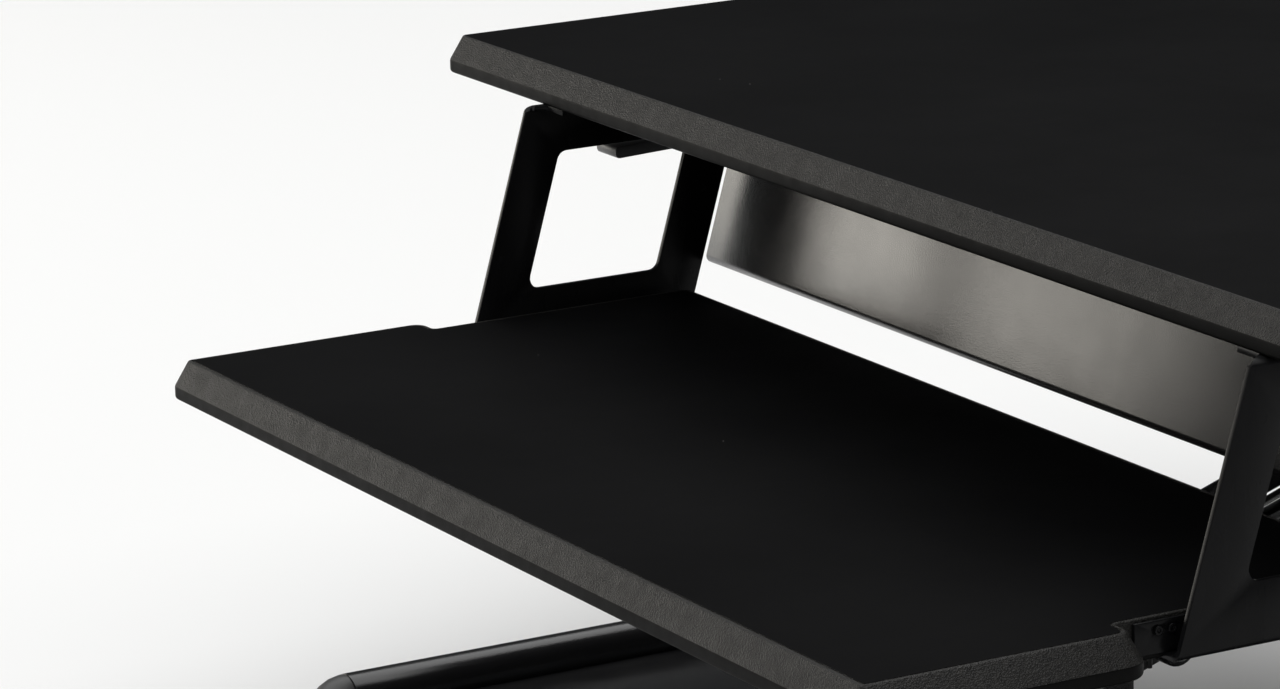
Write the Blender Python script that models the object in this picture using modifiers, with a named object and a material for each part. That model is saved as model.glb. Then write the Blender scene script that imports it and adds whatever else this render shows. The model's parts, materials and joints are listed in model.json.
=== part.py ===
"""Standing desk converter: a monitor platform and a keyboard tray lifted together on parallel arms.

Metres, +Z up, X across the width, +Y to the back. The origin lies on the desk, below the middle of the
footprint. Depths are measured back from the keyboard tray's front edge and shifted by FRONT.
The arms are modelled part way up, REST_ANGLE above level.
"""
import math

import bmesh
import bpy
from mathutils import Matrix, Vector

OBJECT_NAME = "desk_converter"
GAP = 0.0003

# Overall sizes
PLATFORM_WIDTH = 0.900
OVERALL_DEPTH = 0.750
FRONT = -OVERALL_DEPTH / 2
PLATFORM_SETBACK = 0.2235
PLATFORM_OVER_TRAY = 0.135
TRAY_WIDTH = 0.701
TRAY_DEPTH = 0.3086
NECK_WIDTH = 0.6554
NOTCH_DEPTH = 0.1568

# Boards
BOARD = 0.0205
BEVEL_RUN = 0.0078
BEVEL_DROP = 0.0135
UNDER_EDGE = 0.0018
CORNER_RADIUS = 0.011
TAB_RADIUS = 0.015
NOTCH_RADIUS = 0.003
TRAY_REAR_RADIUS = 0.004

# Base
PAD_HEIGHT = 0.002
PAD_RADIUS = 0.012
BASE_SHEET = 0.0025
RAIL_X = 0.400
RAIL_RADIUS = 0.0165
RAIL_FRONT = 0.124
RAIL_BACK = 0.700
NOSE_LENGTH = 0.024
BASE_BOTTOM = PAD_HEIGHT + GAP
BASE_TOP = BASE_BOTTOM + BASE_SHEET
BASE_WINDOW_HALF = 0.250
BASE_WINDOW = (0.470, 0.640)
RAIL_BOTTOM = BASE_TOP + GAP
TRAY_OVER_RAIL = 0.212
TRAY_TOP = RAIL_BOTTOM + RAIL_RADIUS + TRAY_OVER_RAIL
PLATFORM_TOP = TRAY_TOP + PLATFORM_OVER_TRAY
TRAY_UNDER = TRAY_TOP - BOARD
PLATFORM_UNDER = PLATFORM_TOP - BOARD

# Side plates and back panel, all leaning back at LEAN metres per metre of height
LEAN = 0.30
PLATE_OUTER_X = 0.3395
PLATE_SHEET = 0.003
PLATE_BEND = 0.005
TOP_BEND = 0.0036
PLATE_FRONT = 0.1817
PLATE_BACK = 0.3203
FLANGE_WIDTH = 0.045
TOP_FLANGE_WIDTH = 0.025
FLANGE_SETBACK = 0.002
FLANGE_RAMP = 0.008
WINDOW_FRONT = 0.2090
WINDOW_BACK = 0.2917
WINDOW_LOW = 0.0111
WINDOW_HIGH = 0.0864
WINDOW_RADIUS = 0.006
PANEL_HALF_WIDTH = 0.3405
PANEL_SHEET = 0.002
PANEL_FRONT = 0.3245
PANEL_LOW = 0.0096
PANEL_BEND = 0.004
PANEL_FOLD = 0.014
CLEAT_SHEET = 0.002
SCREW_DEPTHS = (0.1715, 0.1790)
SCREW_HEIGHT = TRAY_TOP - 0.0062
SCREW_RADIUS = 0.0012
SCREW_HOLE = 0.0016
SCREW_HEAD = 0.0023

# Lift: a parallelogram of arms in the middle, on a post below and between the cheeks of a hanger above
ARM_LENGTH = 0.362
REST_ANGLE = math.radians(18.0)
LOWER_PIVOT = (0.391, 0.1045)
PIVOT_STEP = (-0.006, 0.0215)
ARM_HALF_DEPTH = 0.010
ARM_WALL = 0.0025
HUB_RADIUS = 0.0115
LOWER_ARM_X = (0.0218, 0.0318)
UPPER_ARM_X = (0.0400, 0.0435)
UPPER_HUB_X = (0.0335, 0.0435)
SHAFT_RADIUS = 0.006
SHAFT_HEAD = 0.0085
HEAD_WIDTH = 0.002
BUSH_INNER = SHAFT_RADIUS + GAP
BUSH_OUTER = 0.008
HUB_BORE = BUSH_OUTER + GAP
BUSH_RECESS = 0.0005
TIE_RADIUS = 0.008
TIE_AT = 0.080
ROD_X = (0.0108, 0.0172)
ROD_RADIUS = 0.0029
EYE_RADIUS = 0.0095
CHEEK_X = (0.0465, 0.0495)
CHEEK = CHEEK_X[1] - CHEEK_X[0]
POST_HALF = 0.010
POST_FOOT_HALF = 0.060
POST_FOOT = 0.004
POST_FRONT = 0.345
POST_BACK = 0.430
POST_TOP = 0.1375
HANGER_FRONT = 0.650
HANGER_BACK = 0.748
HANGER_BOTTOM = 0.2050
HANGER_PLATE = 0.003
HANGER_PLATE_X = 0.170
HANGER_PLATE_FRONT = 0.610

# Rubber stops under the lower arms
STOP_AT = 0.660
STOP_TOP = 0.0298
STOP_RADIUS = 0.007

# Springs that help the lift
COIL_RADIUS = 0.0095
WIRE = 0.0016
COIL_START = 0.0108
COIL_PITCH = 0.0034
COIL_TURNS = 2
COIL_LEG = 0.014
POINTS_PER_TURN = 14

# Height lock and its release
RELEASE_AT = (0.672, 0.322)
RELEASE_RADIUS = 0.005
SECTOR_X = (0.0180, 0.0215)
SECTOR_RADIUS = 0.036
SECTOR_HUB = 0.0125
TOOTH_DEPTH = 0.0025
TOOTH_PITCH = math.radians(5.5)
SECTOR_START = math.radians(158.0)
TOOTH_COUNT = 11
HANDLE_X = 0.381
HANDLE_WIDTH = 0.022
HANDLE_THICKNESS = 0.0065
HANDLE_FRONT = 0.289
HANDLE_OVER_TRAY = 0.0722
HANDLE_HUB = 0.010
BEARING_X = (0.318, 0.334)
BEARING_HALF = 0.011

ROUND = 24
SIDES = (("left", -1.0), ("right", 1.0))


def clear_scene():
    for obj in list(bpy.data.objects):
        bpy.data.objects.remove(obj, do_unlink=True)


def new_collection(name):
    collection = bpy.data.collections.new(name)
    bpy.context.scene.collection.children.link(collection)
    return collection


clear_scene()
PARTS = new_collection(OBJECT_NAME)
CUTTERS = new_collection("cutters")


def material(name, color, roughness, metallic=0.0):
    made = bpy.data.materials.new(name)
    made.use_nodes = True
    shader = made.node_tree.nodes["Principled BSDF"]
    shader.inputs["Base Color"].default_value = (*color, 1.0)
    shader.inputs["Roughness"].default_value = roughness
    shader.inputs["Metallic"].default_value = metallic
    return made


BLACK_BOARD = material("black_board", (0.012, 0.012, 0.013), 0.55)
BLACK_COAT = material("black_coat", (0.015, 0.015, 0.016), 0.38)
BLACK_GLOSS = material("black_gloss", (0.014, 0.014, 0.015), 0.28)
STEEL = material("steel", (0.42, 0.42, 0.43), 0.35, 1.0)
SPRING_STEEL = material("spring_steel", (0.20, 0.20, 0.21), 0.40, 1.0)
RUBBER = material("rubber", (0.02, 0.02, 0.02), 0.85)
GREY_PLASTIC = material("grey_plastic", (0.065, 0.065, 0.066), 0.5)
BUSH_PLASTIC = material("bush_plastic", (0.75, 0.74, 0.70), 0.5)


# Building helpers

def depth(y):
    """A depth behind the tray's front edge, in the part's own frame."""
    return FRONT + y


def add_object(name, mesh, finish, pivot=None):
    obj = bpy.data.objects.new(name, mesh)
    obj.data.materials.clear()
    obj.data.materials.append(finish)
    PARTS.objects.link(obj)
    mesh.shade_smooth()
    mesh.set_sharp_from_angle(angle=math.radians(35))
    if pivot is not None:
        obj.parent = pivot
        obj.matrix_parent_inverse = Matrix.Translation(-pivot.location)
    return obj


def add_pivot(name, y, z):
    pivot = bpy.data.objects.new(name, None)
    pivot.location = (0.0, depth(y), z)
    PARTS.objects.link(pivot)
    return pivot


def as_cutter(obj):
    """Take an object out of the parts, so that a Boolean can use it."""
    PARTS.objects.unlink(obj)
    CUTTERS.objects.link(obj)
    obj.hide_render = True
    obj.display_type = "WIRE"
    return obj


def combine(target, operand, operation="DIFFERENCE"):
    step = target.modifiers.new(operation.lower(), "BOOLEAN")
    step.operation = operation
    step.solver = "EXACT"
    step.object = as_cutter(operand)


def mesh_from(bm, name):
    mesh = bpy.data.meshes.new(name)
    bmesh.ops.recalc_face_normals(bm, faces=bm.faces)
    bm.to_mesh(mesh)
    bm.free()
    return mesh


def box(name, low, high, finish=BLACK_COAT, pivot=None):
    low = Vector(low)
    high = Vector(high)
    bm = bmesh.new()
    bmesh.ops.create_cube(bm, size=1.0)
    bmesh.ops.scale(bm, vec=high - low, verts=bm.verts)
    bmesh.ops.translate(bm, vec=(low + high) / 2, verts=bm.verts)
    return add_object(name, mesh_from(bm, name), finish, pivot)


def rod(name, ends, y, z, radius, finish=STEEL, pivot=None, segments=ROUND):
    """A round bar along X between two x values."""
    bm = bmesh.new()
    bmesh.ops.create_cone(bm, cap_ends=True, segments=segments, radius1=radius, radius2=radius,
                          depth=abs(ends[1] - ends[0]))
    bmesh.ops.rotate(bm, matrix=Matrix.Rotation(math.pi / 2, 3, "Y"), verts=bm.verts)
    bmesh.ops.translate(bm, vec=((ends[0] + ends[1]) / 2, depth(y), z), verts=bm.verts)
    return add_object(name, mesh_from(bm, name), finish, pivot)


def disc(name, x, y, ends, radius, finish, pivot=None, segments=24):
    """A round piece along Z between two heights."""
    bm = bmesh.new()
    bmesh.ops.create_cone(bm, cap_ends=True, segments=segments, radius1=radius, radius2=radius,
                          depth=ends[1] - ends[0])
    bmesh.ops.translate(bm, vec=(x, depth(y), (ends[0] + ends[1]) / 2), verts=bm.verts)
    return add_object(name, mesh_from(bm, name), finish, pivot)


def rounded(corners, radius, steps=5):
    """Replace each corner of an outline by an arc; radius is one number or one for each corner."""
    radii = radius if isinstance(radius, (list, tuple)) else [radius] * len(corners)
    outline = []
    for i, (corner, size) in enumerate(zip(corners, radii)):
        here = Vector(corner)
        to_last = (Vector(corners[i - 1]) - here).normalized()
        to_next = (Vector(corners[(i + 1) % len(corners)]) - here).normalized()
        half = to_last.angle(to_next) / 2
        if size <= 0.0:
            outline.append(here)
            continue
        middle = here + (to_last + to_next).normalized() * (size / math.sin(half))
        start = here + to_last * (size / math.tan(half)) - middle
        turn = start.angle_signed(here + to_next * (size / math.tan(half)) - middle)
        for step in range(steps + 1):
            angle = -turn * step / steps
            spun = Matrix.Rotation(angle, 2) @ start
            outline.append(middle + spun)
    return outline


def plate_across(name, outline, ends, finish=BLACK_COAT, pivot=None):
    """A flat outline of (depth, height) points, made solid along X between two x values."""
    curve = bpy.data.curves.new(name, "CURVE")
    curve.dimensions = "2D"
    curve.fill_mode = "BOTH"
    curve.extrude = abs(ends[1] - ends[0]) / 2
    spline = curve.splines.new("POLY")
    spline.points.add(len(outline) - 1)
    for point, (y, z) in zip(spline.points, outline):
        point.co = (depth(y), z, 0.0, 1.0)
    spline.use_cyclic_u = True
    flat = bpy.data.objects.new(name, curve)
    bpy.context.scene.collection.objects.link(flat)
    mesh = bpy.data.meshes.new_from_object(flat.evaluated_get(bpy.context.evaluated_depsgraph_get()))
    bpy.data.objects.remove(flat, do_unlink=True)
    upright = Matrix(((0, 0, 1, (ends[0] + ends[1]) / 2), (1, 0, 0, 0), (0, 1, 0, 0), (0, 0, 0, 1)))
    bm = bmesh.new()
    bm.from_mesh(mesh)
    bpy.data.meshes.remove(mesh)
    bmesh.ops.transform(bm, matrix=upright, verts=bm.verts)
    bmesh.ops.remove_doubles(bm, verts=bm.verts, dist=0.00001)
    return add_object(name, mesh_from(bm, name), finish, pivot)


def across(side, inner, outer):
    """The x values of a piece that lies between two distances from the middle, on one side."""
    return sorted((side * inner, side * outer))


def folded_sheet(name, rows, sheet, finish, pivot=None):
    """A sheet of even thickness behind a surface given as rows of points."""
    bm = bmesh.new()
    grid = [[bm.verts.new(point) for point in row] for row in rows]
    for upper, lower in zip(grid, grid[1:]):
        for a, b, c, d in zip(upper, upper[1:], lower[1:], lower):
            bm.faces.new((a, b, c, d))
    mesh = bpy.data.meshes.new(name)
    bm.to_mesh(mesh)
    bm.free()
    obj = add_object(name, mesh, finish, pivot)
    thick = obj.modifiers.new("thickness", "SOLIDIFY")
    thick.thickness = sheet
    thick.offset = -1.0
    thick.use_even_offset = True
    return obj


def bend(start, corner, end, radius, steps=6):
    """The arc that rounds one corner of an open path."""
    return rounded([start, corner, end], [0.0, radius, 0.0], steps)[1:-1]


# Boards

def inset_outline(outline, inset_of):
    """Move each side of an anticlockwise outline inward by inset_of(its middle, its outward normal)."""
    sides = []
    for here, after in zip(outline, outline[1:] + outline[:1]):
        along = (after - here).normalized()
        outward = Vector((along.y, -along.x))
        sides.append((outward, inset_of((here + after) / 2, outward)))
    moved = []
    for i, here in enumerate(outline):
        (first, first_inset), (second, second_inset) = sides[i - 1], sides[i]
        turn = first.x * second.y - first.y * second.x
        if abs(turn) < 0.0001:
            moved.append(here - second * second_inset)
            continue
        x = (second.y * first_inset - first.y * second_inset) / turn
        y = (first.x * second_inset - second.x * first_inset) / turn
        moved.append(here - Vector((x, y)))
    return moved


def board(name, outline, top, inset_of, pivot):
    """A board with a sloping top edge and a small chamfer round its underside."""
    under = inset_outline(outline, lambda middle, outward: UNDER_EDGE)
    upper = inset_outline(outline, inset_of)
    levels = ((under, top - BOARD), (outline, top - BOARD + UNDER_EDGE),
              (outline, top - BEVEL_DROP), (upper, top))
    bm = bmesh.new()
    loops = [[bm.verts.new((x, depth(y), z)) for x, y in points] for points, z in levels]
    count = len(outline)
    for lower, higher in zip(loops, loops[1:]):
        for i in range(count):
            bm.faces.new((lower[i], lower[(i + 1) % count], higher[(i + 1) % count], higher[i]))
    bm.faces.new(reversed(loops[0]))
    bm.faces.new(loops[-1])
    return add_object(name, mesh_from(bm, name), BLACK_BOARD, pivot)


def make_platform(pivot):
    half = PLATFORM_WIDTH / 2
    corners = [(-half, PLATFORM_SETBACK), (half, PLATFORM_SETBACK),
               (half, OVERALL_DEPTH), (-half, OVERALL_DEPTH)]
    outline = rounded(corners, CORNER_RADIUS)

    def inset(middle, outward):
        return BEVEL_RUN * (1.0 - max(outward.y, 0.0))

    return board("platform_board", outline, PLATFORM_TOP, inset, pivot)


def make_tray(pivot):
    wide = TRAY_WIDTH / 2
    neck = NECK_WIDTH / 2
    right = [(wide, 0.0), (wide, NOTCH_DEPTH), (neck, NOTCH_DEPTH), (neck, TRAY_DEPTH)]
    radii = [CORNER_RADIUS, TAB_RADIUS, NOTCH_RADIUS, TRAY_REAR_RADIUS]
    left = [(-x, y) for x, y in reversed(right)]
    outline = rounded(right + left, radii + radii[::-1])

    def inset(middle, outward):
        if middle.y < NOTCH_DEPTH + GAP / 2:
            return BEVEL_RUN
        return BEVEL_RUN * max(outward.y, 0.0) if middle.y < NOTCH_DEPTH + NOTCH_RADIUS else 0.0

    tray = board("keyboard_tray", outline, TRAY_TOP, inset, pivot)
    for word, side in SIDES:
        x = across(side, PLATE_OUTER_X - FLANGE_WIDTH - 0.001, wide + 0.010)
        rebate = box("tray_rebate_" + word, (x[0], depth(NOTCH_DEPTH + 0.012), TRAY_UNDER - 0.010),
                     (x[1], depth(TRAY_DEPTH + 0.010), TRAY_UNDER + PLATE_SHEET + GAP))
        combine(tray, rebate)
        for y in SCREW_DEPTHS:
            hole = rod("screw_hole", across(side, neck - 0.012, neck + 0.004), y, SCREW_HEIGHT, SCREW_HOLE,
                       segments=12)
            combine(tray, hole)
    return tray


# Side plates, back panel and the tray's edge cleats

def lean(y, z):
    """A depth given at the tray top's height, moved to height z along the lean."""
    return depth(y + LEAN * (z - TRAY_TOP))


def make_side_plate(word, side, pivot):
    low = TRAY_UNDER
    high = PLATFORM_UNDER - GAP
    outer = PLATE_OUTER_X
    path = [(outer - FLANGE_WIDTH, low)]
    path += bend(path[0], (outer, low), (outer, high), PLATE_BEND)
    path += bend((outer, low), (outer, high), (outer - TOP_FLANGE_WIDTH, high), TOP_BEND)
    path.append((outer - FLANGE_RAMP, high))
    path.append((outer - TOP_FLANGE_WIDTH, high))
    rows = []
    for x, z in path:
        front = lean(PLATE_FRONT, z)
        if z > high - TOP_BEND:
            behind_board = depth(PLATFORM_SETBACK + FLANGE_SETBACK)
            front += (behind_board - front) * min((outer - x) / FLANGE_RAMP, 1.0)
        rows.append([(side * x, front, z), (side * x, lean(PLATE_BACK, z), z)])
    if side < 0:
        rows = [list(reversed(row)) for row in rows]
    plate = folded_sheet("side_plate_" + word, rows, PLATE_SHEET, BLACK_GLOSS, pivot)
    corners = [(y + LEAN * height, TRAY_TOP + height) for y, height in (
        (WINDOW_FRONT, WINDOW_LOW), (WINDOW_BACK, WINDOW_LOW), (WINDOW_BACK, WINDOW_HIGH),
        (WINDOW_FRONT, WINDOW_HIGH))]
    outline = rounded(corners, WINDOW_RADIUS)
    combine(plate, plate_across("window_" + word, outline, across(side, outer - 0.02, outer + 0.02)))


def make_back_panel(pivot):
    low = TRAY_TOP + PANEL_LOW
    high = PLATFORM_UNDER - GAP
    foot = PANEL_FRONT + LEAN * PANEL_LOW
    head = PANEL_FRONT + LEAN * (high - TRAY_TOP)
    path = [Vector((foot + PANEL_FOLD, low))]
    path += bend(path[0], (foot, low), (head, high), PANEL_BEND)
    path += bend((foot, low), (head, high), (head + PANEL_FOLD, high), PANEL_BEND)
    path.append(Vector((head + PANEL_FOLD, high)))
    rows = [[(x, depth(y), z) for x in (-PANEL_HALF_WIDTH, PANEL_HALF_WIDTH)] for y, z in path]
    folded_sheet("back_panel", rows, PANEL_SHEET, BLACK_COAT, pivot)


def make_edge_cleat(word, side, pivot):
    inner = NECK_WIDTH / 2 + GAP
    outer = inner + CLEAT_SHEET
    low = TRAY_UNDER + PLATE_SHEET + GAP
    x = across(side, inner, outer)
    cleat = box("edge_cleat_" + word, (x[0], depth(NOTCH_DEPTH + 0.002), low),
                (x[1], depth(TRAY_DEPTH - 0.004), TRAY_TOP - 0.0015), BLACK_GLOSS, pivot)
    for number, y in enumerate(SCREW_DEPTHS, 1):
        combine(cleat, rod("cleat_hole", across(side, inner - 0.002, outer + 0.002), y, SCREW_HEIGHT,
                           SCREW_HOLE, segments=12))
        head = rod(f"cleat_screw_{word}_{number}", across(side, outer + GAP, outer + 0.0014), y, SCREW_HEIGHT,
                   SCREW_HEAD, BLACK_GLOSS, pivot, 20)
        shank = rod("shank", across(side, inner - 0.010, outer + 0.0010), y, SCREW_HEIGHT, SCREW_RADIUS,
                    segments=12)
        combine(head, shank, "UNION")


# Base

def make_base():
    half = RAIL_X + RAIL_RADIUS
    plate = box("base_plate", (-half, depth(RAIL_FRONT), BASE_BOTTOM), (half, depth(RAIL_BACK), BASE_TOP))
    window = box("base_window", (-BASE_WINDOW_HALF, depth(BASE_WINDOW[0]), BASE_BOTTOM - 0.01),
                 (BASE_WINDOW_HALF, depth(BASE_WINDOW[1]), BASE_TOP + 0.01))
    combine(plate, window)
    for word, side in SIDES:
        for place, y in (("front", RAIL_FRONT + 0.030), ("rear", RAIL_BACK - 0.030)):
            disc(f"foot_pad_{place}_{word}", side * RAIL_X, y, (0.0, PAD_HEIGHT), PAD_RADIUS, RUBBER)
        make_rail(word, side)
        make_nose(word, side)
        disc("lowering_stop_" + word, side * sum(LOWER_ARM_X) / 2, STOP_AT, (BASE_TOP + GAP, STOP_TOP),
             STOP_RADIUS, RUBBER)


def make_rail(word, side):
    bm = bmesh.new()
    arc = [Vector((math.cos(math.pi * i / 16), math.sin(math.pi * i / 16))) * RAIL_RADIUS for i in range(17)]
    loops = [[bm.verts.new((side * RAIL_X + p.x, depth(y), RAIL_BOTTOM + p.y)) for p in arc]
             for y in (RAIL_FRONT, RAIL_BACK)]
    for i in range(-1, 16):
        bm.faces.new((loops[0][i], loops[0][i + 1], loops[1][i + 1], loops[1][i]))
    bm.faces.new(loops[0])
    bm.faces.new(loops[1])
    add_object("base_rail_" + word, mesh_from(bm, "base_rail"), BLACK_COAT)


def make_nose(word, side):
    """The rail's front cap: a quarter of an egg that slopes down to the desk."""
    bm = bmesh.new()
    bmesh.ops.create_uvsphere(bm, u_segments=24, v_segments=12, radius=1.0)
    low = PAD_HEIGHT / 2
    bmesh.ops.scale(bm, vec=(RAIL_RADIUS, NOSE_LENGTH, RAIL_BOTTOM + RAIL_RADIUS - low), verts=bm.verts)
    for cut in ((0.0, 1.0, 0.0), (0.0, 0.0, -1.0)):
        everything = list(bm.verts) + list(bm.edges) + list(bm.faces)
        sliced = bmesh.ops.bisect_plane(bm, geom=everything, dist=0.000001, plane_co=(0.0, 0.0, 0.0),
                                        plane_no=cut, clear_outer=True)
        rim = [item for item in sliced["geom_cut"] if isinstance(item, bmesh.types.BMEdge)]
        bmesh.ops.holes_fill(bm, edges=rim)
    bmesh.ops.translate(bm, vec=(side * RAIL_X, depth(RAIL_FRONT - GAP), low), verts=bm.verts)
    add_object("rail_nose_" + word, mesh_from(bm, "rail_nose"), GREY_PLASTIC)


def upper_of(pivot_point):
    return (pivot_point[0] + PIVOT_STEP[0], pivot_point[1] + PIVOT_STEP[1])


def along_arm(pivot_point, distance):
    return (pivot_point[0] + distance * math.cos(REST_ANGLE),
            pivot_point[1] + distance * math.sin(REST_ANGLE))


UPPER_PIVOT = upper_of(LOWER_PIVOT)
LOWER_HEAD = along_arm(LOWER_PIVOT, ARM_LENGTH)
UPPER_HEAD = upper_of(LOWER_HEAD)


def make_post():
    """The post that carries both pairs of arms: a thick web on a wide foot."""
    low = BASE_TOP + GAP
    corners = [(POST_FRONT, low), (POST_BACK, low), (POST_BACK, 0.012), (0.392, 0.050), (0.378, 0.062),
               (0.378, 0.084), (0.399, 0.091), (0.403, 0.105), (0.399, POST_TOP), (0.3725, POST_TOP),
               (0.3725, 0.100), (0.359, 0.082), (0.359, 0.056), (POST_FRONT, 0.036)]
    outline = rounded(corners, [0.0, 0.0, 0.002, 0.010, 0.006, 0.004, 0.005, 0.006, 0.010, 0.010,
                                0.008, 0.008, 0.010, 0.006])
    post = plate_across("base_post", outline, (-POST_HALF, POST_HALF), BLACK_COAT)
    combine(post, box("post_foot", (-POST_FOOT_HALF, depth(POST_FRONT), low),
                      (POST_FOOT_HALF, depth(POST_BACK), low + POST_FOOT)), "UNION")
    for y, z in (LOWER_PIVOT, UPPER_PIVOT):
        combine(post, rod("post_bore", (-POST_HALF - 0.01, POST_HALF + 0.01), y, z, BUSH_INNER))


def make_hanger(pivot):
    """Two cheeks joined at the top, screwed under a wide plate; the shafts and the release pass through."""
    top = PLATFORM_UNDER - GAP
    box("hanger_plate", (-HANGER_PLATE_X, depth(HANGER_PLATE_FRONT), top - HANGER_PLATE),
        (HANGER_PLATE_X, depth(HANGER_BACK), top), BLACK_COAT, pivot)
    high = top - HANGER_PLATE - GAP
    corners = [(HANGER_FRONT, high), (HANGER_BACK, high), (HANGER_BACK, HANGER_BOTTOM),
               (0.7225, HANGER_BOTTOM), (0.7165, 0.242), (0.700, 0.298), (HANGER_FRONT, 0.310)]
    outline = rounded(corners, [0.0, 0.0, 0.0115, 0.0100, 0.020, 0.020, 0.005])
    hanger = plate_across("lift_hanger", outline, (-CHEEK_X[1], CHEEK_X[1]), BLACK_COAT, pivot)
    combine(hanger, box("hanger_slot", (-CHEEK_X[0], depth(HANGER_FRONT - 0.01), HANGER_BOTTOM - 0.1),
                        (CHEEK_X[0], depth(HANGER_BACK + 0.01), high - CHEEK)))
    for (y, z), radius in ((RELEASE_AT, RELEASE_RADIUS + GAP), (LOWER_HEAD, BUSH_INNER),
                           (UPPER_HEAD, BUSH_INNER)):
        combine(hanger, rod("hanger_hole", (-CHEEK_X[1] - 0.01, CHEEK_X[1] + 0.01), y, z, radius))


# Lift arms

def stadium(foot, radius, steps=12):
    """The side view of an arm from its foot to its head."""
    points = []
    for middle, start in ((along_arm(foot, ARM_LENGTH), -math.pi / 2), (foot, math.pi / 2)):
        for step in range(steps + 1):
            angle = REST_ANGLE + start + math.pi * step / steps
            points.append(Vector(middle) + Vector((math.cos(angle), math.sin(angle))) * radius)
    return points


def add_hubs(arm, side, foot, hub_x, pivot):
    """A bored hub at each end of an arm, with a plastic bush in it."""
    for word, (y, z) in (("low", foot), ("high", along_arm(foot, ARM_LENGTH))):
        combine(arm, rod("hub", across(side, *hub_x), y, z, HUB_RADIUS), "UNION")
        through = across(side, hub_x[0] - 0.01, hub_x[1] + 0.01)
        combine(arm, rod("hub_bore", through, y, z, HUB_BORE))
        bush = rod(f"{arm.name}_bush_{word}", across(side, hub_x[0] + BUSH_RECESS, hub_x[1] - BUSH_RECESS),
                   y, z, BUSH_OUTER, BUSH_PLASTIC, pivot)
        combine(bush, rod("bush_bore", through, y, z, BUSH_INNER))


def make_lower_arm(word, side, pivot):
    """A pressed steel pan with its open side outward."""
    inner, outer = LOWER_ARM_X
    arm = plate_across("lower_arm_" + word, stadium(LOWER_PIVOT, ARM_HALF_DEPTH), across(side, inner, outer),
                       BLACK_COAT, pivot)
    hollow = plate_across("arm_hollow", stadium(LOWER_PIVOT, ARM_HALF_DEPTH - ARM_WALL),
                          across(side, inner + ARM_WALL, outer + 0.004))
    combine(arm, hollow)
    add_hubs(arm, side, LOWER_PIVOT, LOWER_ARM_X, pivot)


def make_upper_arm(word, side, pivot):
    """A flat steel bar with a deeper hub at each end."""
    arm = plate_across("upper_arm_" + word, stadium(UPPER_PIVOT, ARM_HALF_DEPTH), across(side, *UPPER_ARM_X),
                       BLACK_COAT, pivot)
    add_hubs(arm, side, UPPER_PIVOT, UPPER_HUB_X, pivot)


def make_link_rod(word, side, pivot):
    """A polished round bar beside the upper arms, with an eye at each end."""
    centre = sum(ROD_X) / 2
    foot = along_arm(UPPER_PIVOT, BUSH_OUTER)
    head = along_arm(UPPER_PIVOT, ARM_LENGTH - BUSH_OUTER)
    bm = bmesh.new()
    bmesh.ops.create_cone(bm, cap_ends=True, segments=16, radius1=ROD_RADIUS, radius2=ROD_RADIUS,
                          depth=ARM_LENGTH - 2 * BUSH_OUTER)
    bmesh.ops.rotate(bm, matrix=Matrix.Rotation(REST_ANGLE - math.pi / 2, 3, "X"), verts=bm.verts)
    middle = (side * centre, depth((foot[0] + head[0]) / 2), (foot[1] + head[1]) / 2)
    bmesh.ops.translate(bm, vec=middle, verts=bm.verts)
    name = "link_rod_" + word
    link = add_object(name, mesh_from(bm, name), STEEL, pivot)
    for y, z in (UPPER_PIVOT, UPPER_HEAD):
        combine(link, rod("eye", across(side, *ROD_X), y, z, EYE_RADIUS), "UNION")
        combine(link, rod("eye_bore", across(side, ROD_X[0] - 0.01, ROD_X[1] + 0.01), y, z, BUSH_INNER))


def make_tie(pivot):
    """The tube that joins the two lower arms."""
    y, z = along_arm(LOWER_PIVOT, TIE_AT)
    half = LOWER_ARM_X[0] - GAP
    tube = rod("lower_arm_tie", (-half, half), y, z, TIE_RADIUS, BLACK_COAT, pivot)
    combine(tube, rod("tie_bore", (-half - 0.01, half + 0.01), y, z, TIE_RADIUS - 0.002))


def make_shaft(name, point, reach, pivot=None):
    """A pivot shaft across the lift, with a head just outside the reach on each side."""
    y, z = point
    inside = reach + GAP
    shaft = rod(name, (-inside - HEAD_WIDTH, inside + HEAD_WIDTH), y, z, SHAFT_RADIUS, STEEL, pivot)
    for side in (-1.0, 1.0):
        combine(shaft, rod("head", across(side, inside, inside + HEAD_WIDTH), y, z, SHAFT_HEAD), "UNION")


def make_torsion_spring(word, side):
    """A coil round the lower base shaft, with a short straight leg in front of the post's neck."""
    y, z = LOWER_PIVOT
    points = []
    for step in range(COIL_TURNS * POINTS_PER_TURN + 1):
        angle = math.pi + 2 * math.pi * step / POINTS_PER_TURN
        x = COIL_START + WIRE + COIL_PITCH * step / POINTS_PER_TURN
        points.append((side * x, depth(y + COIL_RADIUS * math.cos(angle)),
                       z + COIL_RADIUS * math.sin(angle)))
    last = points[-1]
    points.append((last[0], last[1], last[2] - COIL_LEG))
    curve = bpy.data.curves.new("torsion_spring", "CURVE")
    curve.dimensions = "3D"
    curve.bevel_depth = WIRE
    curve.bevel_resolution = 1
    curve.use_fill_caps = True
    spline = curve.splines.new("POLY")
    spline.points.add(len(points) - 1)
    for point, place in zip(spline.points, points):
        point.co = (*place, 1.0)
    coil = bpy.data.objects.new("torsion_spring_" + word, curve)
    curve.materials.append(SPRING_STEEL)
    PARTS.objects.link(coil)


# Height lock and release

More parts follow.
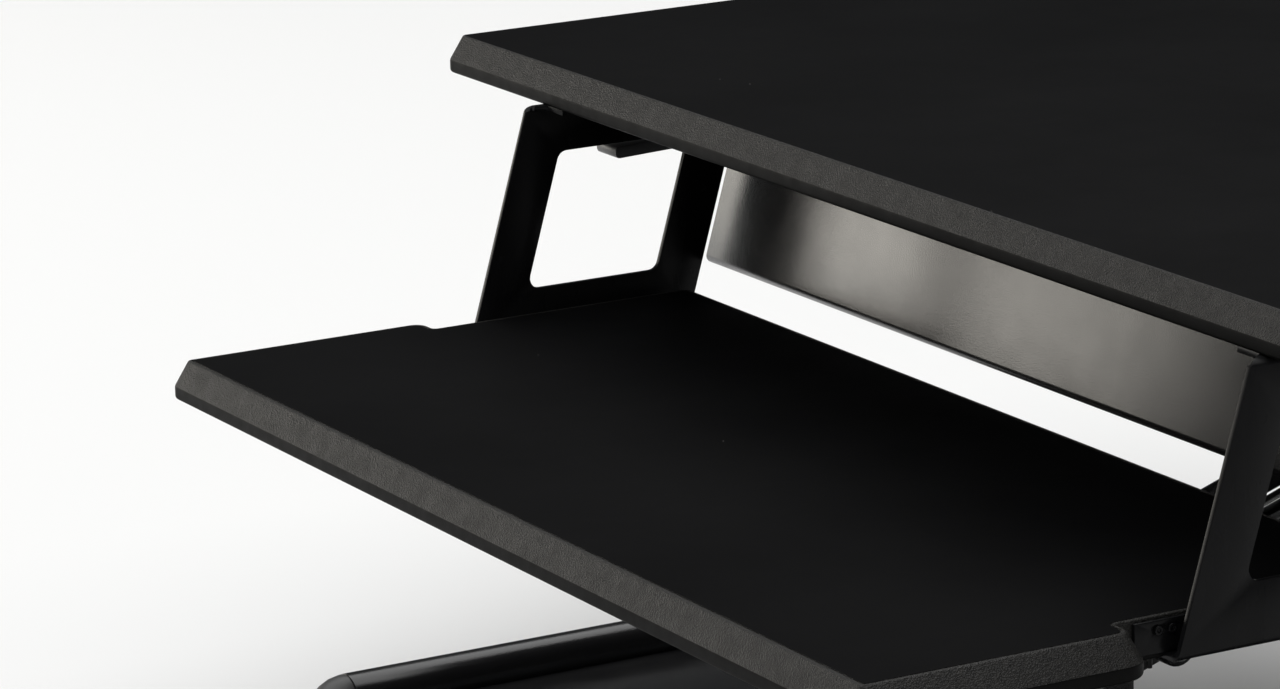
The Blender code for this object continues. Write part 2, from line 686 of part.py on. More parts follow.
def make_sector(word, side, pivot):
    """The toothed plate that turns with the lower arms at their upper end."""
    centre = Vector(LOWER_HEAD)
    outline = []
    for tooth in range(TOOTH_COUNT):
        start = SECTOR_START + tooth * TOOTH_PITCH
        for share, radius in ((0.0, SECTOR_RADIUS), (0.45, SECTOR_RADIUS),
                              (0.55, SECTOR_RADIUS - TOOTH_DEPTH), (0.90, SECTOR_RADIUS - TOOTH_DEPTH)):
            angle = start + share * TOOTH_PITCH
            outline.append(centre + Vector((math.cos(angle), math.sin(angle))) * radius)
    back = SECTOR_START + TOOTH_COUNT * TOOTH_PITCH
    sweep = 2 * math.pi - TOOTH_COUNT * TOOTH_PITCH
    for step in range(1, 17):
        angle = back + sweep * step / 16
        outline.append(centre + Vector((math.cos(angle), math.sin(angle))) * SECTOR_HUB)
    x = across(side, *SECTOR_X)
    sector = plate_across("lock_sector_" + word, outline, x, STEEL, pivot)
    combine(sector, rod("sector_bore", (x[0] - 0.01, x[1] + 0.01), centre.x, centre.y, BUSH_INNER))


def make_pawl(word, side, pivot):
    """The finger that hangs from the release shaft, with its tip facing the sector's teeth."""
    y, z = RELEASE_AT
    tip = LOWER_HEAD[0] - SECTOR_RADIUS - 2 * GAP
    level = LOWER_HEAD[1]
    corners = [(y - 0.009, z + 0.009), (y + 0.009, z + 0.009), (y + 0.009, z - 0.014),
               (tip - 0.005, level + 0.010), (tip, level + 0.0008), (tip, level - 0.0008),
               (tip - 0.005, level - 0.007), (tip - 0.014, level - 0.007), (y - 0.009, z - 0.024)]
    outline = rounded(corners, [0.008, 0.008, 0.006, 0.003, 0.0003, 0.0003, 0.0015, 0.003, 0.006], 3)
    x = across(side, *SECTOR_X)
    pawl = plate_across("lock_pawl_" + word, outline, x, STEEL, pivot)
    combine(pawl, rod("pawl_bore", (x[0] - 0.01, x[1] + 0.01), y, z, RELEASE_RADIUS + GAP))


def make_handle(word, side, pivot):
    """A long flat handle bar under the platform's side, fixed to the release shaft at the back."""
    y, z = RELEASE_AT
    front = TRAY_TOP + HANDLE_OVER_TRAY
    half = HANDLE_THICKNESS / 2
    corners = [(HANDLE_FRONT, front - half), (y, z - half - 0.002), (y, z + half + 0.002),
               (HANDLE_FRONT, front + half)]
    outline = rounded(corners, [0.0025, 0.0, 0.0, 0.0025], 3)
    x = across(side, HANDLE_X - HANDLE_WIDTH / 2, HANDLE_X + HANDLE_WIDTH / 2)
    handle = plate_across("release_handle_" + word, outline, x, BLACK_GLOSS, pivot)
    combine(handle, rod("handle_hub", x, y, z, HANDLE_HUB), "UNION")
    combine(handle, rod("handle_bore", (x[0] - 0.01, x[1] + 0.01), y, z, RELEASE_RADIUS + GAP))


def make_shaft_bearing(word, side, pivot):
    y, z = RELEASE_AT
    x = across(side, *BEARING_X)
    bearing = box("shaft_bearing_" + word, (x[0], depth(y - BEARING_HALF), z - BEARING_HALF),
                  (x[1], depth(y + BEARING_HALF), PLATFORM_UNDER - GAP), GREY_PLASTIC, pivot)
    combine(bearing, rod("bearing_bore", (x[0] - 0.01, x[1] + 0.01), y, z, RELEASE_RADIUS + GAP))


def main():
    lift = add_pivot("pivot_lift", *LOWER_PIVOT)
    swing = add_pivot("pivot_upper_arms", *UPPER_PIVOT)
    carriage = add_pivot("pivot_carriage", *LOWER_HEAD)
    release = add_pivot("pivot_release", *RELEASE_AT)

    make_base()
    make_post()
    make_shaft("base_shaft_low", LOWER_PIVOT, LOWER_ARM_X[1])
    make_shaft("base_shaft_high", UPPER_PIVOT, UPPER_HUB_X[1])
    make_tie(lift)
    make_hanger(carriage)
    make_shaft("carriage_shaft_low", LOWER_HEAD, CHEEK_X[1], carriage)
    make_shaft("carriage_shaft_high", UPPER_HEAD, CHEEK_X[1], carriage)
    make_platform(carriage)
    make_tray(carriage)
    make_back_panel(carriage)
    end = HANDLE_X + HANDLE_WIDTH / 2 + HEAD_WIDTH
    rod("release_shaft", (-end, end), *RELEASE_AT, RELEASE_RADIUS, STEEL, release)
    for word, side in SIDES:
        make_torsion_spring(word, side)
        make_lower_arm(word, side, lift)
        make_upper_arm(word, side, swing)
        make_link_rod(word, side, swing)
        make_sector(word, side, lift)
        make_side_plate(word, side, carriage)
        make_edge_cleat(word, side, carriage)
        make_shaft_bearing(word, side, carriage)
        make_pawl(word, side, release)
        make_handle(word, side, release)


main()
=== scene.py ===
"""The looks of the standing desk converter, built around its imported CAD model.

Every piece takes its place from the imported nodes. Metres, +Z up, +Y to the back.
"""

import json
import math

import bmesh
import bpy
from mathutils import Matrix, Vector


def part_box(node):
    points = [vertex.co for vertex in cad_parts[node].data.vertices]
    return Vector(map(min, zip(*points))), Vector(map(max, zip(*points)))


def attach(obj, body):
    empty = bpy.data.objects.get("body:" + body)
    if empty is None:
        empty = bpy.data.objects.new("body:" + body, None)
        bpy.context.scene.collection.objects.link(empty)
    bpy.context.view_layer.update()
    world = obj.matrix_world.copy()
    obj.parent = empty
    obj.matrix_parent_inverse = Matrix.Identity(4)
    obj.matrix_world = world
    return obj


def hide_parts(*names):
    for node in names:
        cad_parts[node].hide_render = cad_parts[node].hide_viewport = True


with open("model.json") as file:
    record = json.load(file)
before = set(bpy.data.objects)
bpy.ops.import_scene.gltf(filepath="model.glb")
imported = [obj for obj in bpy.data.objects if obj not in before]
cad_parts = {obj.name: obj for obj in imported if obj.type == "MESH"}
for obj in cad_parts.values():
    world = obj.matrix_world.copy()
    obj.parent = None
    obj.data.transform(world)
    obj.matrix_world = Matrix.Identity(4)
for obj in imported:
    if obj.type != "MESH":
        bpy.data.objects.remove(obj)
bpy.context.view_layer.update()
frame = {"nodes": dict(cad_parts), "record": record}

NODES = frame["nodes"]
BODIES = frame["record"]["behaviour"]["bodies"]
BODY_OF = {node: body for body, nodes in BODIES.items() for node in nodes}
SLOT_OF = {row["node"]: row["material_slot"] for row in frame["record"]["subparts"]}

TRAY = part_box("keyboard_tray")
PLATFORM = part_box("platform_board")

# Camera: where it looks, from which side, and from how far
AZIMUTH = math.radians(60.726)
ELEVATION = math.radians(14.27)
ROLL = math.radians(-1.368)
LENS = 158.28
DISTANCE = 3.021
AIM_X = -0.2330
AIM_BEHIND_TRAY_FRONT = 0.2247
AIM = Vector((AIM_X, TRAY[0][1] + AIM_BEHIND_TRAY_FRONT, TRAY[1][2]))
CLIP_END = 60.0

# Studio. Each soft box: name, place, what it faces, width and height, radiance, tint
FLOOR_HALF = 15.0
FLOOR_COLOUR = (0.82, 0.82, 0.815)
FLOOR_ROUGHNESS = 0.9
SKY_COLOUR = (0.9, 0.95, 1.0, 1.0)
SKY_STRENGTH = 0.05
MIDDLE = (0.0, 0.0, 0.25)
WHITE = (1.0, 1.0, 1.0)
WARM = (1.0, 0.955, 0.87)
SOFT_BOXES = (
    ("overhead", (-0.8, 0.2, 4.6), (-0.8, 0.4, 0.0), (9.0, 9.0), 2.0, WHITE),
    ("left_front", (-3.72, -1.90, 0.66), MIDDLE, (2.8, 1.2), 3.4, WARM),
    ("right_front", (2.2, -3.6, 2.0), MIDDLE, (1.8, 1.4), 1.0, WHITE),
)

# Dust specks: how near a cell's centre one is solid, and how few of the cells hold one
SPECK_CORE = 0.6
SPECK_PATCHES = 0.37
SPECK_SPARSE = (0.60, 0.64)

# Sockets of a Mix node that blends colours
MIX_UNDER = 6
MIX_OVER = 7
MIX_RESULT = 2

# Meshes. An edge bent more than SHARP is rounded, faces bent less than FLAT are joined, and points
# closer than WELD are one. TOUCH, PARALLEL and ALONG_X say when a place or direction is the same.
SHARP = math.radians(35.0)
FLAT = math.radians(0.6)
WELD = 0.00001
TOUCH = 0.00008
PARALLEL = 0.0001
ALONG_X = 0.99
SOFTEN = 0.0004
SOFTEN_SEGMENTS = 2
CORNER_STEPS = 10

# Sockets in the ends of the shafts and cleat screws
SOCKET_DEPTH = 0.0009
SOCKET_SHARE = 0.45
SOCKET_TAPER = 10
SOCKET_SOFTEN = SOCKET_DEPTH / 4

# Boards: the slope round the top, the small rounding at its two edges, the rounded underside, the
# corners seen from above, and the fine groove that runs round the tray's top
BEVEL_RUN = 0.0078
BEVEL_DROP = 0.0135
ARRIS = 0.0008
ARRIS_STEPS = 3
UNDER_RADIUS = 0.0018
UNDER_STEPS = 4
CORNER_RADIUS = 0.011
TAB_RADIUS = 0.015
NOTCH_RADIUS = 0.003
NOTCH_GAP = 0.002
NECK_GAP = 0.0003
REAR_RADIUS = 0.004
GROOVE_INSET = 2.0 * ARRIS
GROOVE_WIDTH = 0.0009
GROOVE_DEPTH = 0.0005
GROOVE_LIP = 0.0001
TOP_FACE, SLOPE_FACE, SIDE_FACE = range(3)

# Screw heads under the hanger plate. The section is share of the radius and share of the height, from
# the plate down and back up into the socket, where no share means the hexagon.
HEAD_RADIUS = 0.0048
HEAD_HEIGHT = 0.0026
HEAD_SEGMENTS = 24
HEAD_SECTION = ((1.0, 0.0), (1.0, 0.30), (0.94, 0.58), (0.80, 0.84), (0.62, 1.0), (0.0, 1.0), (0.0, 0.35))
HEAD_SHARES = (0.06, 0.25, 0.75, 0.94)
HEAD_FROM_EDGE = 0.015
HEX_SHARE = 0.46
HEX_SIDE = math.pi / 3


def make_camera():
    level = math.cos(ELEVATION)
    ahead = Vector((-math.sin(AZIMUTH) * level, math.cos(AZIMUTH) * level, -math.sin(ELEVATION)))
    right = ahead.cross(Vector((0.0, 0.0, 1.0))).normalized()
    up = right.cross(ahead)
    rolled_right = right * math.cos(ROLL) + up * math.sin(ROLL)
    rolled_up = up * math.cos(ROLL) - right * math.sin(ROLL)
    camera = bpy.data.objects.new("camera", bpy.data.cameras.new("camera"))
    bpy.context.scene.collection.objects.link(camera)
    camera.data.lens = LENS
    camera.data.clip_end = CLIP_END
    turn = Matrix((rolled_right, rolled_up, -ahead)).transposed().to_4x4()
    camera.matrix_world = Matrix.Translation(AIM - ahead * DISTANCE) @ turn
    bpy.context.scene.camera = camera


def soft_box(name, place, aim, size, radiance, tint):
    """A rectangular area light of a given brightness, turned to face a point and unseen itself."""
    light = bpy.data.lights.new(name, "AREA")
    light.shape = "RECTANGLE"
    light.size = size[0]
    light.size_y = size[1]
    light.energy = radiance * math.pi * size[0] * size[1]
    light.color = tint
    lamp = bpy.data.objects.new(name, light)
    lamp.location = place
    lamp.visible_camera = False
    lamp.rotation_euler = (Vector(aim) - Vector(place)).to_track_quat("-Z", "Y").to_euler()
    bpy.context.scene.collection.objects.link(lamp)


def make_studio():
    bm = bmesh.new()
    bmesh.ops.create_grid(bm, x_segments=1, y_segments=1, size=FLOOR_HALF)
    floor = bpy.data.objects.new("floor", mesh_from(bm, "floor"))
    bpy.context.scene.collection.objects.link(floor)
    floor.data.materials.append(plain("floor", FLOOR_COLOUR, FLOOR_ROUGHNESS))

    world = bpy.data.worlds.new("studio")
    world.use_nodes = True
    sky = world.node_tree.nodes["Background"]
    sky.inputs["Color"].default_value = SKY_COLOUR
    sky.inputs["Strength"].default_value = SKY_STRENGTH
    bpy.context.scene.world = world
    bpy.context.scene.view_settings.view_transform = "Standard"

    for row in SOFT_BOXES:
        soft_box(*row)


# Materials

def plain(name, colour, roughness):
    """One even colour, for the floor only."""
    made = bpy.data.materials.new(name)
    made.use_nodes = True
    shader = made.node_tree.nodes["Principled BSDF"]
    shader.inputs["Base Color"].default_value = (*colour, 1.0)
    shader.inputs["Roughness"].default_value = roughness
    return made


class Finish:
    """A procedural surface, built up one property at a time on a Principled shader."""

    def __init__(self, name, metallic=0.0, ior=1.5):
        self.material = bpy.data.materials.new(name)
        self.material.use_nodes = True
        self.tree = self.material.node_tree
        self.shader = self.tree.nodes["Principled BSDF"]
        self.shader.inputs["Metallic"].default_value = metallic
        self.shader.inputs["IOR"].default_value = ior
        self.place = self.tree.nodes.new("ShaderNodeTexCoord").outputs["Object"]
        self.last_normal = None

    def link(self, source, target):
        self.tree.links.new(source, target)

    def stretched(self, scale):
        mapping = self.tree.nodes.new("ShaderNodeMapping")
        mapping.inputs["Scale"].default_value = scale
        self.link(self.place, mapping.inputs["Vector"])
        return mapping.outputs["Vector"]

    def noise(self, scale, detail, stretch=None, roughness=0.5):
        made = self.tree.nodes.new("ShaderNodeTexNoise")
        made.inputs["Scale"].default_value = scale
        made.inputs["Detail"].default_value = detail
        made.inputs["Roughness"].default_value = roughness
        self.link(self.stretched(stretch) if stretch else self.place, made.inputs["Vector"])
        return made.outputs["Fac"]

    def cells(self, scale):
        """The distance to the nearest cell's centre."""
        made = self.tree.nodes.new("ShaderNodeTexVoronoi")
        made.inputs["Scale"].default_value = scale
        self.link(self.place, made.inputs["Vector"])
        return made.outputs["Distance"]

    def spread(self, source, low, high, start=0.3, end=0.7):
        """Map a texture's range from start to end, its middle if not given, onto low to high."""
        made = self.tree.nodes.new("ShaderNodeMapRange")
        made.inputs["From Min"].default_value = start
        made.inputs["From Max"].default_value = end
        made.inputs["To Min"].default_value = low
        made.inputs["To Max"].default_value = high
        self.link(source, made.inputs["Value"])
        return made.outputs["Result"]

    def specks(self, scale, size):
        """Sparse dots: 1 inside a few cells' centres, 0 elsewhere."""
        near = self.spread(self.cells(scale), 1.0, 0.0, size * SPECK_CORE, size)
        sparse = self.spread(self.noise(scale * SPECK_PATCHES, detail=0.0), 0.0, 1.0, *SPECK_SPARSE)
        both = self.tree.nodes.new("ShaderNodeMath")
        both.operation = "MULTIPLY"
        self.link(near, both.inputs[0])
        self.link(sparse, both.inputs[1])
        return both.outputs["Value"]

    def blend(self, source, first, second):
        """A colour between the first, where the source is 0, and the second, where it is 1."""
        ramp = self.tree.nodes.new("ShaderNodeValToRGB")
        ramp.color_ramp.elements[0].color = (*first, 1.0)
        ramp.color_ramp.elements[1].color = (*second, 1.0)
        self.link(source, ramp.inputs["Fac"])
        return ramp.outputs["Color"]

    def over(self, under, mask, colour):
        """One colour laid over another where the mask is 1."""
        mix = self.tree.nodes.new("ShaderNodeMix")
        mix.data_type = "RGBA"
        self.link(mask, mix.inputs["Factor"])
        self.link(under, mix.inputs[MIX_UNDER])
        mix.inputs[MIX_OVER].default_value = (*colour, 1.0)
        return mix.outputs[MIX_RESULT]

    def colour(self, source):
        self.link(source, self.shader.inputs["Base Color"])

    def roughness(self, source):
        self.link(source, self.shader.inputs["Roughness"])

    def bump(self, source, strength, depth):
        """Relief on top of any relief that is there already. The depth is in metres."""
        made = self.tree.nodes.new("ShaderNodeBump")
        made.inputs["Strength"].default_value = strength
        made.inputs["Distance"].default_value = depth
        self.link(source, made.inputs["Height"])
        if self.last_normal:
            self.link(self.last_normal, made.inputs["Normal"])
        self.last_normal = made.outputs["Normal"]
        self.link(self.last_normal, self.shader.inputs["Normal"])


def laminate():
    """Smooth matte black facing with the faintest pore and a few specks of dust."""
    made = Finish("matte_laminate", ior=1.1)
    cloud = made.spread(made.noise(6.0, detail=5.0), 0.0, 1.0)
    base = made.blend(cloud, (0.0020, 0.0020, 0.0022), (0.0036, 0.0036, 0.0038))
    made.colour(made.over(base, made.specks(46.0, size=0.022), (0.14, 0.135, 0.13)))
    made.roughness(made.spread(made.noise(14.0, detail=6.0), 0.52, 0.62))
    made.bump(made.noise(2600.0, detail=2.0), strength=0.10, depth=0.0002)
    return made.material


def grained_edge():
    """The boards' sloping edge band: black film pressed with a fine leathery grain."""
    made = Finish("grained_edge", ior=1.36)
    cloud = made.spread(made.noise(420.0, detail=4.0, roughness=0.62), 0.0, 1.0)
    made.colour(made.blend(cloud, (0.0040, 0.0038, 0.0035), (0.0190, 0.0180, 0.0160)))
    made.roughness(made.spread(made.noise(95.0, detail=5.0), 0.40, 0.54))
    made.bump(made.cells(1150.0), strength=0.80, depth=0.0006)
    made.bump(made.noise(2600.0, detail=4.0), strength=0.55, depth=0.0003)
    return made.material


def edge_side():
    """The square part of the boards' edge, a smoother film than the slope."""
    made = Finish("edge_film", ior=1.14)
    cloud = made.noise(60.0, detail=4.0)
    made.colour(made.blend(cloud, (0.0025, 0.0025, 0.0024), (0.0050, 0.0049, 0.0047)))
    made.roughness(made.spread(made.noise(120.0, detail=4.0), 0.44, 0.56))
    made.bump(made.noise(1300.0, detail=3.0), strength=0.22, depth=0.0003)
    return made.material


def powder_coat():
    """Semi-gloss powder coat with orange peel and a few specks of dust."""
    made = Finish("powder_coat", ior=1.56)
    base = made.blend(made.noise(24.0, detail=5.0), (0.010, 0.010, 0.0105), (0.016, 0.016, 0.0165))
    made.colour(made.over(base, made.specks(70.0, size=0.03), (0.13, 0.13, 0.125)))
    made.roughness(made.spread(made.noise(30.0, detail=5.0), 0.17, 0.24))
    made.bump(made.noise(1150.0, detail=2.0, roughness=0.4), strength=0.16, depth=0.0003)
    made.bump(made.noise(2600.0, detail=1.0), strength=0.12, depth=0.0002)
    return made.material


def smooth_coat():
    """Smooth semi-gloss black coat with faint smudges that run upward, on the plates and cleats."""
    made = Finish("smooth_coat", ior=1.2)
    smudge = made.noise(11.0, detail=7.0, stretch=(1.0, 1.0, 0.35), roughness=0.66)
    smear = made.spread(smudge, 0.0, 1.0, start=0.42, end=0.66)
    base = made.blend(smear, (0.0040, 0.0040, 0.0043), (0.0105, 0.0105, 0.0110))
    made.colour(made.over(base, made.specks(85.0, size=0.026), (0.10, 0.10, 0.10)))
    made.roughness(made.spread(smear, 0.24, 0.42, start=0.0, end=1.0))
    made.bump(made.noise(420.0, detail=2.0), strength=0.10, depth=0.0003)
    return made.material


def satin_coat_painted_light():
    """The release handles' satin coat, a paler black than the plates; the paleness is painted light for
    the light the handles catch under the platform.
    """
    made = Finish("satin_coat_painted_light", ior=1.5)
    cloud = made.noise(70.0, detail=5.0)
    # painted light: the colour is paler than the plates' to stand in for the light falling on the handle
    made.colour(made.blend(cloud, (0.045, 0.045, 0.0455), (0.080, 0.080, 0.0805)))
    made.roughness(made.spread(made.noise(45.0, detail=5.0), 0.34, 0.46))
    made.bump(made.noise(900.0, detail=3.0), strength=0.20, depth=0.0003)
    return made.material


def bright_steel():
    """Zinc-plated steel with fine turned or drawn lines."""
    made = Finish("bright_steel", metallic=1.0)
    made.colour(made.blend(made.noise(55.0, detail=5.0), (0.42, 0.42, 0.43), (0.60, 0.595, 0.58)))
    made.roughness(made.spread(made.noise(80.0, detail=6.0), 0.20, 0.34))
    made.bump(made.noise(900.0, detail=2.0, stretch=(0.15, 1.0, 1.0)), strength=0.16, depth=0.0002)
    return made.material


def polished_rod():
    """Bright polished steel, on the link rods."""
    made = Finish("polished_rod", metallic=1.0)
    made.colour(made.blend(made.noise(90.0, detail=4.0), (0.62, 0.62, 0.62), (0.74, 0.735, 0.72)))
    made.roughness(made.spread(made.noise(140.0, detail=4.0), 0.10, 0.18))
    made.bump(made.noise(1400.0, detail=2.0, stretch=(1.0, 0.1, 0.1)), strength=0.08, depth=0.0001)
    return made.material


def spring_wire():
    """Dark oiled steel wire."""
    made = Finish("spring_wire", metallic=1.0)
    made.colour(made.blend(made.noise(160.0, detail=4.0), (0.10, 0.10, 0.105), (0.20, 0.195, 0.19)))
    made.roughness(made.spread(made.noise(220.0, detail=4.0), 0.28, 0.42))
    made.bump(made.noise(1800.0, detail=2.0), strength=0.15, depth=0.0002)
    return made.material


def soft_rubber():
    """Dull black rubber with a fine tooth."""
    made = Finish("soft_rubber", ior=1.4)
    made.colour(made.blend(made.noise(120.0, detail=5.0), (0.014, 0.014, 0.014), (0.030, 0.029, 0.028)))
    made.roughness(made.spread(made.noise(60.0, detail=5.0), 0.72, 0.88))
    made.bump(made.noise(900.0, detail=4.0), strength=0.35, depth=0.0004)
    return made.material


def moulded_plastic(name, dark, light, smoothest, roughest):
    """Plastic with the fine spark texture of its mould."""
    made = Finish(name, ior=1.46)
    made.colour(made.blend(made.noise(45.0, detail=5.0), dark, light))
    made.roughness(made.spread(made.noise(70.0, detail=5.0), smoothest, roughest))
    made.bump(made.cells(1500.0), strength=0.22, depth=0.0002)
    return made.material


# Mesh helpers

def mesh_from(bm, name):
    mesh = bpy.data.meshes.new(name)
    bmesh.ops.recalc_face_normals(bm, faces=bm.faces)
    bm.to_mesh(mesh)
    bm.free()
    mesh.shade_smooth()
    mesh.set_sharp_from_angle(angle=SHARP)
    return mesh


def add_piece(name, mesh, finishes, body):
    piece = bpy.data.objects.new(name, mesh)
    bpy.context.scene.collection.objects.link(piece)
    for finish in finishes:
        piece.data.materials.append(finish)
    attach(piece, body)
    return piece


def stand_for(node, mesh, finishes):
    """A finer piece in a CAD node's place."""
    piece = add_piece(node + "_fine", mesh, finishes, BODY_OF[node])
    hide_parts(node)


def sink_ends(bm):
    """A round socket in each of the two end faces that look along X."""
    reach = max(abs(vert.co.x) for vert in bm.verts)
    for face in list(bm.faces):
        centre = face.calc_center_median()
        if abs(face.normal.x) < ALONG_X or abs(centre.x) < reach - TOUCH:
            continue
        radius = max((vert.co - centre).length for vert in face.verts)
        bmesh.ops.inset_individual(bm, faces=[face], thickness=radius * (1.0 - SOCKET_SHARE))
        bmesh.ops.inset_individual(bm, faces=[face], thickness=radius * SOCKET_SHARE / SOCKET_TAPER,
                                   depth=-SOCKET_DEPTH)


def refine(node, finish):
    """The CAD node's own shape, with whole faces and its sharp edges rounded."""
    bm = bmesh.new()
    bm.from_mesh(NODES[node].data)
    bmesh.ops.remove_doubles(bm, verts=bm.verts, dist=WELD)
    bmesh.ops.dissolve_limit(bm, angle_limit=FLAT, verts=bm.verts, edges=bm.edges)
    soften = SOFTEN
    if "_shaft_" in node or node.startswith("cleat_screw"):
        sink_ends(bm)
        soften = SOCKET_SOFTEN
    sharp = [edge for edge in bm.edges if edge.calc_face_angle(0.0) > SHARP]
    bmesh.ops.bevel(bm, geom=sharp, offset=soften, segments=SOFTEN_SEGMENTS, profile=0.5, affect="EDGES",
                    clamp_overlap=True)
    stand_for(node, mesh_from(bm, node), [finish])


def corner_arc(before, corner, after, radius):
    """The arc that rounds one corner of an outline."""
    here = Vector(corner)
    to_last = (Vector(before) - here).normalized()
    to_next = (Vector(after) - here).normalized()
    half = to_last.angle(to_next) / 2
    middle = here + (to_last + to_next).normalized() * (radius / math.sin(half))
    start = here + to_last * (radius / math.tan(half)) - middle
    end = here + to_next * (radius / math.tan(half)) - middle
    turn = start.angle_signed(end)
    return [middle + Matrix.Rotation(-turn * step / CORNER_STEPS, 2) @ start
            for step in range(CORNER_STEPS + 1)]


def rounded(corners, radii):
    outline = []
    for i, (corner, radius) in enumerate(zip(corners, radii)):
        outline += corner_arc(corners[i - 1], corner, corners[(i + 1) % len(corners)], radius)
    return outline


def inset_outline(outline, inset_of):
    """Move each side of an anticlockwise outline inward by inset_of(its middle, its outward normal)."""
    sides = []
    for here, after in zip(outline, outline[1:] + outline[:1]):
        along = (after - here).normalized()
        outward = Vector((along.y, -along.x))
        sides.append((outward, inset_of((here + after) / 2, outward)))
    moved = []
    for i, here in enumerate(outline):
        (first, first_inset), (second, second_inset) = sides[i - 1], sides[i]
        turn = first.x * second.y - first.y * second.x
        if abs(turn) < PARALLEL:
            moved.append(here - second * second_inset)
            continue
        x = (second.y * first_inset - first.y * second_inset) / turn
        y = (first.x * second_inset - second.x * first_inset) / turn
        moved.append(here - Vector((x, y)))
    return moved


# Boards

def edge_section(low, high, grooved):
    """The boards' edge from the underside up, as rows of inset, share of the slope, height and face."""
    shoulder = high - BEVEL_DROP
    rows = []
    for step in range(UNDER_STEPS + 1):
        angle = math.pi / 2 * step / UNDER_STEPS
        rows.append((UNDER_RADIUS * (1.0 - math.sin(angle)), 0.0,
                     low + UNDER_RADIUS * (1.0 - math.cos(angle)), SIDE_FACE))
    for step in range(ARRIS_STEPS + 1):
        share = step / ARRIS_STEPS
        rise = ARRIS * share ** 2
        rows.append((0.0, rise / BEVEL_DROP, shoulder - ARRIS * (1.0 - share) ** 2 + rise,
                     SLOPE_FACE if step > 1 else SIDE_FACE))
    for step in range(ARRIS_STEPS + 1):
        share = step / ARRIS_STEPS
        drop = ARRIS * (1.0 - share) ** 2
        rows.append((ARRIS * share ** 2, 1.0 - drop / BEVEL_DROP, high - drop, SLOPE_FACE))
    if grooved:
        for across, z in ((0.0, high), (GROOVE_LIP, high - GROOVE_DEPTH),
                          (GROOVE_WIDTH, high - GROOVE_DEPTH), (GROOVE_WIDTH + GROOVE_LIP, high)):
            rows.append((GROOVE_INSET + across, 1.0, z, SLOPE_FACE))
    return rows


def make_board(node, outline, share_of, grooved, finishes):
    """A board swept round its outline through a rounded section.

    share_of(a side's middle, its outward normal) is how much of the slope's run that side has.
    """
    low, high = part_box(node)
    rows = edge_section(low[2], high[2], grooved)
    bm = bmesh.new()
    loops = []
    for inset, slope, z, _ in rows:
        points = inset_outline(outline, lambda *side: inset + slope * BEVEL_RUN * share_of(*side))
        loops.append([bm.verts.new((p.x, p.y, z)) for p in points])
    count = len(outline)
    for lower, higher, row in zip(loops, loops[1:], rows):
        for i in range(count):
            face = bm.faces.new((lower[i], lower[(i + 1) % count], higher[(i + 1) % count], higher[i]))
            face.material_index = row[3]
    bm.faces.new(reversed(loops[0])).material_index = SIDE_FACE
    bm.faces.new(loops[-1]).material_index = TOP_FACE
    stand_for(node, mesh_from(bm, node), finishes)


def make_platform(finishes):
    """The platform board: its edge slopes at the front and sides, and is square at the back."""
    low, high = PLATFORM
    corners = [(low[0], low[1]), (high[0], low[1]), (high[0], high[1]), (low[0], high[1])]

    def share_of(middle, outward):
        return 1.0 - max(outward.y, 0.0)

    make_board("platform_board", rounded(corners, [CORNER_RADIUS] * 4), share_of, False, finishes)


def make_tray(finishes):
    """The keyboard tray: its wider front tab has the sloping edge, and its neck is square."""
    low, high = TRAY
    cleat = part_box("edge_cleat_right")
    neck = cleat[0][0] - NECK_GAP
    notch = cleat[0][1] - NOTCH_GAP
    right = [(high[0], low[1]), (high[0], notch), (neck, notch), (neck, high[1])]
    radii = [CORNER_RADIUS, TAB_RADIUS, NOTCH_RADIUS, REAR_RADIUS]
    outline = rounded(right + [(-x, y) for x, y in reversed(right)], radii + radii[::-1])

    def share_of(middle, outward):
        if middle.y < notch + TOUCH:
            return 1.0
        return max(outward.y, 0.0) if middle.y < notch + NOTCH_RADIUS else 0.0

    make_board("keyboard_tray", outline, share_of, True, finishes)


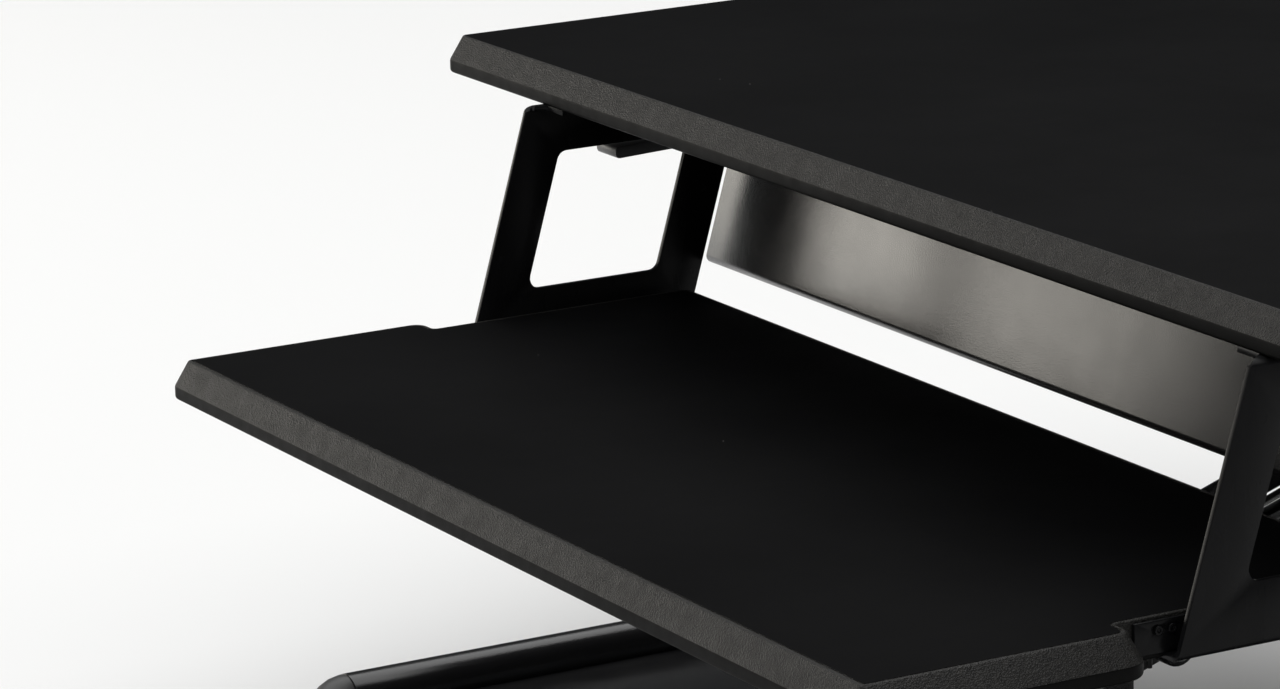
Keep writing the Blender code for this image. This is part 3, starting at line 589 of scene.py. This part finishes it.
def screw_head(name, x, y, z, finish):
    """A button head that faces down from a surface at height z, with a hexagonal socket."""
    bm = bmesh.new()
    loops = []
    for share, drop in HEAD_SECTION:
        loop = []
        for i in range(HEAD_SEGMENTS):
            angle = 2 * math.pi * i / HEAD_SEGMENTS
            off_flat = (angle % HEX_SIDE) - HEX_SIDE / 2
            radius = HEAD_RADIUS * (share or HEX_SHARE / math.cos(off_flat))
            loop.append(bm.verts.new((x + radius * math.cos(angle), y + radius * math.sin(angle),
                                      z - HEAD_HEIGHT * drop)))
        loops.append(loop)
    for upper, lower in zip(loops, loops[1:]):
        for i in range(HEAD_SEGMENTS):
            bm.faces.new((upper[i - 1], upper[i], lower[i], lower[i - 1]))
    bm.faces.new(loops[0])
    bm.faces.new(loops[-1])
    add_piece(name, mesh_from(bm, name), [finish], "carriage")


def make_screw_heads(finish):
    low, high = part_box("hanger_plate")
    for i, share in enumerate(HEAD_SHARES):
        x = low[0] + share * (high[0] - low[0])
        for j, y in enumerate((low[1] + HEAD_FROM_EDGE, high[1] - HEAD_FROM_EDGE)):
            screw_head(f"hanger_plate_screw_{i}_{j}", x, y, low[2], finish)


def main():
    make_camera()
    make_studio()
    top = laminate()
    board = [top, grained_edge(), edge_side()]
    steel = bright_steel()
    by_slot = {
        "board": top,
        "coated_steel": powder_coat(),
        "gloss_steel": smooth_coat(),
        "zinc_steel": steel,
        "spring_steel": spring_wire(),
        "rubber": soft_rubber(),
        "grey_plastic": moulded_plastic("grey_plastic", (0.050, 0.050, 0.050), (0.075, 0.075, 0.074),
                                        0.32, 0.44),
        "bush_plastic": moulded_plastic("acetal", (0.62, 0.61, 0.57), (0.74, 0.73, 0.69), 0.30, 0.42),
    }
    by_name = {"link_rod": polished_rod(), "release_handle": satin_coat_painted_light()}
    make_platform(board)
    make_tray(board)
    make_screw_heads(steel)
    for node in sorted(NODES):
        if node not in ("platform_board", "keyboard_tray"):
            refine(node, by_name.get(node.rpartition("_")[0], by_slot[SLOT_OF[node]]))


main()
